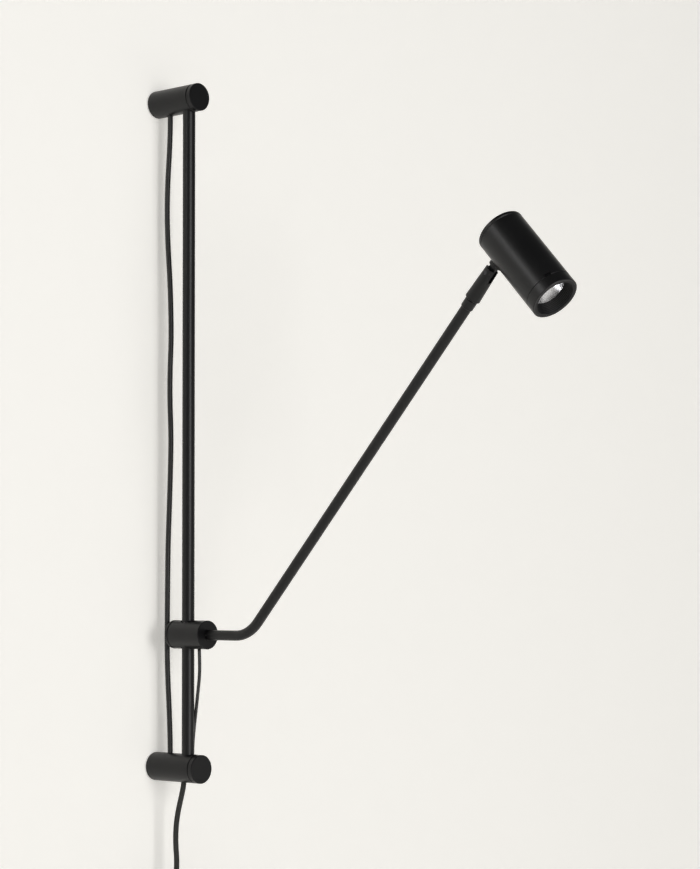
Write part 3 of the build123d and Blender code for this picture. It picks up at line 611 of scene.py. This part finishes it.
@dataclass
class MainsCord:
    """The braided mains cord, from the gland under the lower bracket to the plug on the hank."""

    diameter: float = 6.0 * MM
    length: float = 2.10
    steps: int = 6  # points on the spline for each control point, as the loops have many
    exit: Point = (0.0, -0.0466, -0.3903)

    def build(self, palette: Palette, with_pieces: list[str | bpy.types.Object]) -> None:
        """Make the cord with its hank.

        Args:
            palette: The materials.
            with_pieces: The tie, the plug and its pins; not used.
        """
        hank = Hank()
        loops = hank.points()
        into = (Vector(loops[0]) - Vector(loops[1])).normalized()
        approach = tuple(Vector(loops[0]) + into * hank.approach)
        drop = [(0, -46.8, -383.5), (0, -46.8, -392.5), (0, -41.6, -409.5), (0, -36.4, -426),
                (0, -33.3, -444), (0, -33.4, -462), (-0.3, -35.6, -479), (-2.4, -37.0, -494),
                (-7.6, -37.8, -506), (-13.6, -38.4, -516), (-18.0, -39.6, -526), (-19.2, -42.2, -536.5),
                approach]
        tail = [(-17.4, -52.2, -623), (-23.6, -54.6, -636), (-30.6, -56.9, -647.5), (-34, -57.6, -658),
                (-34, -57.6, -668)]
        lead = Lead("mains_cord_tube", drop + loops + tail, self.diameter, Slot.BRAID, steps=self.steps)
        piece, line = lead.build(palette)
        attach(piece, "root")
        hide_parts("mains_cord", "cord_hank")


# ---------------------------------------------------------------- reflector
@dataclass
class Reflector:
    """The silvered bowl, with rows of triangular facets set half a facet round from each other."""

    facets: int = 60
    rows: int = 18
    flare: float = 0.85  # 1 is a cone, 0.5 a parabola
    throat_r: float = 6.2 * MM
    mouth_r: float = 17.4 * MM
    flange_r: float = 21.3 * MM
    wall: float = 1.0 * MM
    head_rear: Point = (0.0, -0.503494, 0.181837)
    head_front: Point = (0.0, -0.572111, 0.107996)
    throat_at: float = 59.6 * MM  # from the spotlight's rear
    mouth_at: float = 88.8 * MM

    def bowl(self, share: float) -> tuple[float, float]:
        """Radius and distance from the rear, at a share of the bowl's depth."""
        return (self.throat_r + (self.mouth_r - self.throat_r) * share ** self.flare,
                self.throat_at + (self.mouth_at - self.throat_at) * share)

    def build(self, palette: Palette) -> None:
        """Make the bowl as one closed wall with a flange."""
        shape = bmesh.new()
        step = tau / self.facets
        rings = []
        for row in range(self.rows + 1):
            radius, height = self.bowl(row / self.rows)
            rings.append(self.ring(shape, radius, height, step * row / 2))
        turn = step * self.rows / 2
        rings.append(self.ring(shape, self.flange_r, self.mouth_at, turn))
        rings.append(self.ring(shape, self.flange_r, self.mouth_at - self.wall, turn))
        for row in range(self.rows, -1, -1):
            radius, height = self.bowl(row / self.rows)
            height -= self.wall if row == self.rows else 0.0
            rings.append(self.ring(shape, radius + self.wall, height, step * row / 2))
        for below, above in zip(rings, rings[1:] + rings[:1]):
            self.join(shape, below, above)
        bmesh.ops.triangulate(shape, faces=shape.faces)
        bmesh.ops.recalc_face_normals(shape, faces=shape.faces)
        rear, front = Vector(self.head_rear), Vector(self.head_front)
        shape.transform(frame_along(rear, front - rear))
        mesh = bpy.data.meshes.new("reflector_bowl")
        shape.to_mesh(mesh)
        shape.free()
        piece = new_object("reflector_bowl", mesh, palette[Slot.SILVER])
        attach(piece, "head")
        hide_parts("reflector")
        log.info("reflector_bowl has %d facets in %d rows", self.facets, self.rows)

    def ring(self, shape: bmesh.types.BMesh, radius: float, height: float, turn: float) -> list:
        """Vertices round the axis, from a starting angle."""
        return [shape.verts.new((radius * cos(turn + tau * n / self.facets),
                                 radius * sin(turn + tau * n / self.facets), height))
                for n in range(self.facets)]

    def join(self, shape: bmesh.types.BMesh, below: list, above: list) -> None:
        """Triangles between two rings, the second of which may lie half a facet round."""
        for n in range(self.facets):
            after = (n + 1) % self.facets
            shape.faces.new((below[n], below[after], above[n]))
            shape.faces.new((below[after], above[after], above[n]))


# ---------------------------------------------------------------- plug and tie
@dataclass
class Plug:
    """The moulded plug at the mains cord's end: a slit strain relief, a body with grip ribs, sleeved pins.

    Lengths are in millimetres, measured down from the plug's neck.
    """

    neck: Point = (-34.0, -57.6, -668.0)
    neck_half: float = 4.4
    half_size: tuple[float, float] = (13.0, 7.0)
    corner: float = 4.9
    relief_length: float = 10.0
    relief_ribs: int = 5
    rib_growth: float = 0.012  # by which each rib is nearer to the body's size, where 1 is that size
    # Rings of a rib and the groove after it: share of their pitch, and nearness to the body's size, or
    # below 0 a groove
    rib_profile: tuple[tuple[float, float], ...] = ((0.0, 0.02), (0.55, 0.02), (0.6, -0.2), (0.95, -0.2))
    groove_depth: float = 4.0  # where a ring of the profile is at -1
    shoulder_from: float = 0.07  # nearness to the body's size at the last rib
    shoulder_at: float = 22.0
    shoulder_rings: int = 12
    length: float = 38.0
    grips: int = 5
    grip_depth: float = 0.55
    # Rings of a grip rib: share of the grips' pitch, and share of their depth
    grip_profile: tuple[tuple[float, float], ...] = ((0.1, 0.0), (0.35, 1.0), (0.65, 1.0), (0.9, 0.0))
    grip_margins: tuple[float, float] = (1.0, 2.0)  # plain lengths before and after the grips
    edge: float = 0.9
    edge_rings: int = 3
    pin_spacing: float = 18.6
    sleeve_half: float = 2.06
    sleeve_length: float = 10.0
    sleeve_edge: float = 0.3
    sleeve_sides: int = 28
    sides: int = 48

    def sections(self) -> list[tuple[float, float]]:
        """Rings of the strain relief and the shoulder.

        Returns:
            How far each ring lies down the plug, and how near it is to the body's size, from 0 to 1.
        """
        rings = []
        pitch = self.relief_length / self.relief_ribs
        for rib in range(self.relief_ribs):
            for step, share in self.rib_profile:
                rings.append(((rib + step) * pitch, share + self.rib_growth * rib))
        shoulder = self.shoulder_at - self.relief_length
        for step in range(self.shoulder_rings + 1):
            ease = (1 - cos(pi * step / self.shoulder_rings)) / 2
            rings.append((self.relief_length + shoulder * step / self.shoulder_rings,
                          self.shoulder_from + (1 - self.shoulder_from) * ease))
        return rings

    def ring(self, shape: bmesh.types.BMesh, down: float, half: tuple[float, float], corner: float) -> list:
        """A rounded rectangle of vertices at a distance down the plug."""
        rounding = min(corner, *half)
        points = []
        for n in range(self.sides):
            angle = tau * (n + 0.5) / self.sides
            across = (half[0] - rounding) * (1 if cos(angle) > 0 else -1) + rounding * cos(angle)
            through = (half[1] - rounding) * (1 if sin(angle) > 0 else -1) + rounding * sin(angle)
            place = Vector((self.neck[0] + across, self.neck[1] + through, self.neck[2] - down))
            points.append(shape.verts.new(place * MM))
        return points

    def skin(self, name: str, rows: list[tuple[float, tuple[float, float], float]]) -> bpy.types.Mesh:
        """Join rows of rounded rectangles into a closed mesh.

        Args:
            name: The mesh's name.
            rows: Distance down, half sizes and corner radius of each row.

        Returns:
            A smooth mesh with its normals outwards.
        """
        shape = bmesh.new()
        rings = [self.ring(shape, *row) for row in rows]
        for above, below in zip(rings, rings[1:]):
            for n in range(self.sides):
                after = (n + 1) % self.sides
                shape.faces.new((above[n], above[after], below[after], below[n]))
        shape.faces.new(rings[0])
        shape.faces.new(rings[-1])
        bmesh.ops.recalc_face_normals(shape, faces=shape.faces)
        mesh = bpy.data.meshes.new(name)
        shape.to_mesh(mesh)
        shape.free()
        mesh.shade_smooth()
        return mesh

    def body_rows(self) -> list[tuple[float, tuple[float, float], float]]:
        """Rows of the strain relief, the shoulder and the gripped body."""
        small, (wide, deep) = self.neck_half, self.half_size
        rows = []
        for down, share in self.sections():
            half = (small + (wide - small) * share, small + (deep - small) * share)
            if share < 0:
                half = (small + share * self.groove_depth,) * 2
            rows.append((down, half, small + (self.corner - small) * max(share, 0.0)))
        pitch = (self.length - self.shoulder_at - sum(self.grip_margins)) / self.grips
        for grip in range(self.grips):
            start = self.shoulder_at + self.grip_margins[0] + grip * pitch
            for step, share in self.grip_profile:
                sink = self.grip_depth * share
                rows.append((start + step * pitch, (wide - sink, deep - sink), self.corner))
        for step in range(self.edge_rings + 1):
            turn = pi / 2 * step / self.edge_rings
            inset = self.edge * (1 - cos(turn))
            down = self.length - self.edge * (1 - sin(turn))
            rows.append((down, (wide - inset, deep - inset), self.corner - inset))
        return rows

    def build(self, palette: Palette) -> list[bpy.types.Object]:
        """Make the plug's body and its pins' sleeves.

        Args:
            palette: The materials.

        Returns:
            Both pieces.
        """
        body = new_object("mains_plug_body", self.skin("mains_plug_body", self.body_rows()),
                          palette[Slot.MOULDING])
        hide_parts("plug_body")
        sleeves = bmesh.new()
        half, edge, end = self.sleeve_half, self.sleeve_edge, self.sleeve_length
        profile = [(0.0, 0.0), (half, 0.0), (half, end - edge), (half - edge, end), (0.0, end)]
        for side in (-1, 1):
            mesh = lathe("sleeve", [(r * MM, z * MM) for r, z in profile], self.sleeve_sides)
            place = Vector(self.neck) + Vector((side * self.pin_spacing / 2, 0.0, -self.length))
            mesh.transform(Matrix.Translation(place * MM) @ Matrix.Rotation(pi, 4, "X"))
            sleeves.from_mesh(mesh)
            bpy.data.meshes.remove(mesh)
        mesh = bpy.data.meshes.new("plug_pin_sleeves")
        sleeves.to_mesh(mesh)
        sleeves.free()
        sleeve = new_object("plug_pin_sleeves", mesh, palette[Slot.MOULDING])
        for piece in (body, sleeve):
            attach(piece, "root")
        log.info("mains_plug_body has %d grip ribs", self.grips)
        return [body, sleeve]


@dataclass
class HankTie:
    """The hook-and-loop tie round the hank's waist, whose rounded free end laps over its front.

    Lengths are in millimetres.
    """

    low: tuple[float, float] = (-17.9, -54.4)  # corners of the bundle that it goes round, as X and Y
    high: tuple[float, float] = (50.55, -41.1)
    corner: float = 3.2
    corner_steps: int = 6
    middle_z: float = -590.2
    width: float = 10.0
    thickness: float = 1.0
    lap: float = 24.0
    ease: float = 7.0  # along which the free end climbs onto the first turn
    climb: float = 1.05  # height of that climb, in thicknesses
    tip: float = 0.6  # half width of the rounded end's last row
    stitch: float = 1.0

    def outline(self) -> list[tuple[Vector, Vector]]:
        """Points round the bundle about a millimetre apart, each with its direction outwards.

        Returns:
            Pairs that start and end on the front, and go on past the start by the lap.
        """
        (x0, y0), (x1, y1), r = self.low, self.high, self.corner
        start_x = (x0 + x1) / 2 - self.lap / 2
        stops = [(Vector((x1 - r, y0 + r)), -90), (Vector((x1 - r, y1 - r)), 0),
                 (Vector((x0 + r, y1 - r)), 90), (Vector((x0 + r, y0 + r)), 180)]
        path = self.run(Vector((start_x, y0)), Vector((x1 - r, y0)))
        for i, (centre, angle) in enumerate(stops):
            for n in range(self.corner_steps + 1):
                turn = radians(angle + 90 * n / self.corner_steps)
                out = Vector((cos(turn), sin(turn)))
                path.append((centre + out * r, out))
            if i < len(stops) - 1:
                out = path[-1][1]
                path += self.run(path[-1][0], stops[i + 1][0] + out * r)[1:]
        return path + self.run(path[-1][0], Vector((start_x + self.lap, y0)))[1:]

    def run(self, start: Vector, end: Vector) -> list[tuple[Vector, Vector]]:
        """Points along a straight side, which goes anticlockwise as seen from above."""
        count = max(2, round((end - start).length / self.stitch))
        along = (end - start).normalized()
        out = Vector((along.y, -along.x))
        return [(start.lerp(end, n / count), out) for n in range(count + 1)]

    def build(self, palette: Palette) -> bpy.types.Object:
        """Make the tie as one strip that laps over its own start.

        Args:
            palette: The materials.

        Returns:
            The piece.
        """
        outline = self.outline()
        reach = [0.0]
        for (a, _), (b, _) in zip(outline, outline[1:]):
            reach.append(reach[-1] + (b - a).length)
        climb_to = reach[-1] - self.lap
        shape = bmesh.new()
        rows = []
        section = ((0.0, -1), (self.thickness, -1), (self.thickness, 1), (0.0, 1))
        for (place, out), at in zip(outline, reach):
            climbed = min(max((at - climb_to + self.ease) / self.ease, 0.0), 1.0)
            lift = self.thickness * self.climb * climbed * climbed * (3 - 2 * climbed)
            left = reach[-1] - at
            half = self.width / 2
            if left < half:
                half = max(sqrt(half * half - (half - left) ** 2), self.tip)
            corners = [Vector((*(place + out * (lift + depth)), self.middle_z + side * half))
                       for depth, side in section]
            rows.append([shape.verts.new(corner * MM) for corner in corners])
        for first, second in zip(rows, rows[1:]):
            for n in range(4):
                after = (n + 1) % 4
                shape.faces.new((first[n], first[after], second[after], second[n]))
        shape.faces.new(rows[0])
        shape.faces.new(rows[-1])
        bmesh.ops.recalc_face_normals(shape, faces=shape.faces)
        mesh = bpy.data.meshes.new("hank_tie_tape")
        shape.to_mesh(mesh)
        shape.free()
        piece = new_object("hank_tie_tape", mesh, palette[Slot.TAPE])
        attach(piece, "root")
        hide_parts("hank_tie")
        log.info("hank_tie_tape is %.0f mm long", reach[-1])
        return piece


# ---------------------------------------------------------------- grub screws
@dataclass
class GrubScrews:
    """Hexagon-socket grub screws, made as copies of one screw on a line of points."""

    name: str
    node: str
    body: str
    first: Point  # middle of the first screw's outer end, in millimetres
    last: Point
    count: int
    turn: float  # of the first screw about X, from facing up; each next one faces the other way
    length: float = 3.5
    radius: float = 2.0
    socket_radius: float = 1.15
    socket_depth: float = 1.7
    sides: int = 36

    def tree(self) -> bpy.types.NodeTree:
        """The Geometry Nodes tree, with its sizes as named inputs.

        Returns:
            The tree.
        """
        tree = bpy.data.node_groups.new(self.name, "GeometryNodeTree")
        face = tree.interface
        face.new_socket("Geometry", in_out="OUTPUT", socket_type="NodeSocketGeometry")
        for title, kind in (("First", "Vector"), ("Last", "Vector"), ("Count", "Int"),
                            ("First Turn", "Float"), ("Length", "Float"), ("Radius", "Float"),
                            ("Socket Radius", "Float"), ("Socket Depth", "Float"), ("Finish", "Material")):
            face.new_socket(title, in_out="INPUT", socket_type="NodeSocket" + kind)
        given = add_node(tree, "NodeGroupInput").outputs
        points = add_node(tree, "GeometryNodeMeshLine", {"mode": "END_POINTS"},
                          {"Count": given["Count"], "Start Location": given["First"], 3: given["Last"]})
        shank = add_node(tree, "GeometryNodeMeshCylinder", {"Vertices": self.sides},
                         {"Radius": given["Radius"], "Depth": given["Length"]})
        # A cylinder is made round its middle: the shank drops by half its length, and the socket is made
        # twice as deep.
        drop = add_node(tree, "ShaderNodeCombineXYZ",
                        links={2: maths(tree, "MULTIPLY", given["Length"], -0.5)})
        sunk = add_node(tree, "GeometryNodeTransform",
                        links={0: shank.outputs[0], "Translation": drop.outputs[0]})
        socket = add_node(tree, "GeometryNodeMeshCylinder", {"Vertices": 6},
                          {"Radius": given["Socket Radius"],
                           "Depth": maths(tree, "MULTIPLY", given["Socket Depth"], 2.0)})
        screw = add_node(tree, "GeometryNodeMeshBoolean", {"operation": "DIFFERENCE"},
                         {0: sunk.outputs[0], 1: socket.outputs[0]})
        index = add_node(tree, "GeometryNodeInputIndex").outputs[0]
        facing = add_node(tree, "ShaderNodeCombineXYZ",
                          links={0: maths(tree, "MULTIPLY_ADD", index, pi, given["First Turn"])})
        copies = add_node(tree, "GeometryNodeInstanceOnPoints", links={
            "Points": points.outputs[0], "Instance": screw.outputs[0], "Rotation": facing.outputs[0]})
        real = add_node(tree, "GeometryNodeRealizeInstances", links={0: copies.outputs[0]})
        dressed = add_node(tree, "GeometryNodeSetMaterial",
                           links={0: real.outputs[0], "Material": given["Finish"]})
        add_node(tree, "NodeGroupOutput", links={0: dressed.outputs[0]})
        return tree

    def build(self, palette: Palette) -> bpy.types.Object:
        """Make the screws as one plain mesh.

        Args:
            palette: The materials.

        Returns:
            The piece.
        """
        tree = self.tree()
        values = {"First": Vector(self.first) * MM, "Last": Vector(self.last) * MM, "Count": self.count,
                  "First Turn": self.turn, "Length": self.length * MM, "Radius": self.radius * MM,
                  "Socket Radius": self.socket_radius * MM, "Socket Depth": self.socket_depth * MM,
                  "Finish": palette[Slot.STEEL]}
        carrier = new_object(self.name + "_line", bpy.data.meshes.new(self.name), palette[Slot.STEEL])
        maker = carrier.modifiers.new(self.name, "NODES")
        maker.node_group = tree
        for item in tree.interface.items_tree:
            if item.in_out == "INPUT":
                maker[item.identifier] = values[item.name]
        scene = bpy.context.evaluated_depsgraph_get()
        mesh = bpy.data.meshes.new_from_object(carrier.evaluated_get(scene))
        carrier.modifiers.remove(maker)
        bpy.data.objects.remove(carrier)
        piece = new_object(self.name, mesh, palette[Slot.STEEL])
        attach(piece, self.body)
        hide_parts(self.node)
        log.info("%s: %d screws, %d faces", self.name, self.count, len(mesh.polygons))
        return piece


# ---------------------------------------------------------------- studio
@dataclass(frozen=True)
class SoftBox:
    """A rectangular soft light."""

    name: str
    place: Point
    aim: Point
    size: tuple[float, float]
    watts: float
    colour: str = "#ffffff"
    spread: float = 180.0  # degrees, narrowed by a grid

    def build(self) -> None:
        """Hang the light, out of the camera's sight."""
        light = bpy.data.lights.new(self.name, "AREA")
        light.shape = "RECTANGLE"
        light.size, light.size_y = self.size
        light.energy = self.watts
        light.spread = radians(self.spread)
        light.color = srgb(self.colour)[:3]
        lamp = bpy.data.objects.new(self.name, light)
        lamp.location = self.place
        lamp.rotation_euler = (Vector(self.aim) - Vector(self.place)).to_track_quat("-Z", "Y").to_euler()
        lamp.visible_camera = False
        bpy.context.scene.collection.objects.link(lamp)


@dataclass
class Camera:
    """The photograph's viewpoint, in metres and degrees, with its focal length in the image's pixels."""

    place: Point = (-1.8163, -1.9903, -0.1647)
    yaw: float = 47.054  # from +Y towards +X
    pitch: float = 1.573
    focal: float = 2371.3
    image_height: float = 869.0
    shift: float = 80.0  # pixels by which the frame's centre lies above the optical axis
    sensor: float = 36.0

    def build(self) -> None:
        """Set the scene's camera."""
        yaw, pitch = radians(self.yaw), radians(self.pitch)
        ahead = Vector((sin(yaw) * cos(pitch), cos(yaw) * cos(pitch), sin(pitch)))
        right = Vector((cos(yaw), -sin(yaw), 0.0))
        data = bpy.data.cameras.new("photo_camera")
        data.sensor_width = self.sensor
        data.lens = self.focal * self.sensor / self.image_height
        data.shift_y = self.shift / self.image_height
        camera = bpy.data.objects.new("photo_camera", data)
        turn = Matrix((right, right.cross(ahead), -ahead)).transposed().to_4x4()
        camera.matrix_world = Matrix.Translation(self.place) @ turn
        bpy.context.scene.collection.objects.link(camera)
        bpy.context.scene.camera = camera


@dataclass
class Studio:
    """A pale wall just behind the light, a pale floor far below, soft lights and a plain world."""

    wall_colour: str = "#f1efea"
    floor_colour: str = "#f1efeb"
    wall_gap: float = 0.4 * MM
    wall_low: Point = (-4.0, 0.0, -1.6)
    wall_high: Point = (4.0, 0.0, 2.2)
    floor_z: float = -1.6
    floor_half: float = 20.0
    top_up: float = 0.43  # what the wall adds for the camera and in reflections, where 1 is white
    floor_top_up: float = 0.7
    room_light: float = 0.09
    horizon: float = 0.1  # rise and fall, as a sine, over which the room's light gives way to the pale ground
    background: str = "#f1efeb"
    lights: tuple[SoftBox, ...] = (
        SoftBox("front_key", (-0.7, -4.6, 0.35), (0.0, -0.2, 0.0), (2.0, 2.3), 98.0),
        SoftBox("upper_left", (-1.2, -0.1, 0.62), (0.0, -0.53, 0.15), (0.45, 0.45), 0.65, spread=80.0),
    )

    def surface(self, name: str, colour: str, top_up: float) -> bpy.types.Material:
        """A pale painted surface that looks a little brighter than it is lit, and whose back doesn't show.

        Args:
            name: The material's name.
            colour: Its paint.
            top_up: What it adds for the camera and in reflections.

        Returns:
            The material.
        """
        material = bpy.data.materials.new(name)
        material.use_nodes = True
        tree = material.node_tree
        tree.nodes.clear()
        paint = add_node(tree, "ShaderNodeBsdfDiffuse", {"Color": srgb(colour)})
        glow = add_node(tree, "ShaderNodeEmission", {"Color": srgb(colour)},
                        {"Strength": maths(tree, "MULTIPLY", self.seen(tree), top_up)})
        shader = add_node(tree, "ShaderNodeAddShader", links={0: paint.outputs[0], 1: glow.outputs[0]})
        back = add_node(tree, "ShaderNodeNewGeometry").outputs["Backfacing"]
        clear = add_node(tree, "ShaderNodeBsdfTransparent")
        shader = add_node(tree, "ShaderNodeMixShader",
                          links={0: back, 1: shader.outputs[0], 2: clear.outputs[0]})
        add_node(tree, "ShaderNodeOutputMaterial", links={"Surface": shader.outputs[0]})
        return material

    def seen(self, tree: bpy.types.NodeTree) -> bpy.types.NodeSocket:
        """1 where the camera looks, straight or in a reflection or through glass, and otherwise 0."""
        path = add_node(tree, "ShaderNodeLightPath")
        mirrored = maths(tree, "MAXIMUM", path.outputs["Is Glossy Ray"], path.outputs["Is Transmission Ray"])
        return maths(tree, "MAXIMUM", path.outputs["Is Camera Ray"], mirrored)

    def plane(self, name: str, corners: list[Point], material: bpy.types.Material) -> None:
        """A flat stage piece, whose corners run anticlockwise as seen from its front."""
        mesh = bpy.data.meshes.new(name)
        mesh.from_pydata(corners, [], [(0, 1, 2, 3)])
        new_object(name, mesh, material)

    def world(self) -> None:
        """A dim room above the horizon, which the camera sees as the pale background."""
        world = bpy.data.worlds.new("studio_room")
        world.use_nodes = True
        tree = world.node_tree
        tree.nodes.clear()
        path = add_node(tree, "ShaderNodeLightPath")
        heading = add_node(tree, "ShaderNodeTexCoord").outputs["Generated"]
        rise = add_node(tree, "ShaderNodeSeparateXYZ", links={0: heading}).outputs[2]
        below = add_node(tree, "ShaderNodeMapRange", {"From Min": self.horizon, "From Max": -self.horizon},
                         {"Value": rise})
        mirrored = maths(tree, "MAXIMUM", path.outputs["Is Glossy Ray"], path.outputs["Is Transmission Ray"])
        ground = maths(tree, "MULTIPLY", mirrored, below.outputs[0])
        mask = maths(tree, "MAXIMUM", path.outputs["Is Camera Ray"], ground)
        colour = add_node(tree, "ShaderNodeMix", {"data_type": "RGBA", 7: srgb(self.background)}, {0: mask})
        colour.inputs[6].default_value = (self.room_light, self.room_light, self.room_light, 1.0)
        shade = add_node(tree, "ShaderNodeBackground", links={"Color": colour.outputs[2]})
        add_node(tree, "ShaderNodeOutputWorld", links={"Surface": shade.outputs[0]})
        bpy.context.scene.world = world

    def build(self) -> None:
        """Set the stage."""
        (x0, _, z0), (x1, _, z1), y = self.wall_low, self.wall_high, self.wall_gap
        wall = self.surface("warm_white_wall_paint", self.wall_colour, self.top_up)
        self.plane("wall", [(x0, y, z0), (x1, y, z0), (x1, y, z1), (x0, y, z1)], wall)
        reach, z = self.floor_half, self.floor_z
        floor = self.surface("pale_floor_paint", self.floor_colour, self.floor_top_up)
        self.plane("floor", [(-reach, -reach, z), (reach, -reach, z), (reach, reach, z), (-reach, reach, z)],
                   floor)
        self.world()
        for light in self.lights:
            light.build()
        bpy.context.scene.view_settings.view_transform = "Standard"
        Camera().build()


def main() -> None:
    """Dress the frame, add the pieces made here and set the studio."""
    logging.basicConfig(level=logging.INFO, format="%(name)s: %(message)s")
    palette = Palette()
    palette.dress_nodes()
    FixedLeads().build(palette)
    tie = HankTie().build(palette)
    plug = Plug().build(palette)
    MainsCord().build(palette, [tie, *plug, frame["nodes"]["plug_pins"]])
    GrubScrews("boss_locking_screws", "boss_grub_screws", "root", first=(0, -7, 389.5), last=(0, -7, -390.0),
               count=2, turn=0.0).build(palette)
    GrubScrews("arm_locking_screw", "arm_grub_screw", "arm", first=(0, -81, -241), last=(0, -81, -241),
               count=1, turn=pi, length=9.3).build(palette)
    Reflector().build(palette)
    Studio().build()


if __name__ == "__main__":
    main()
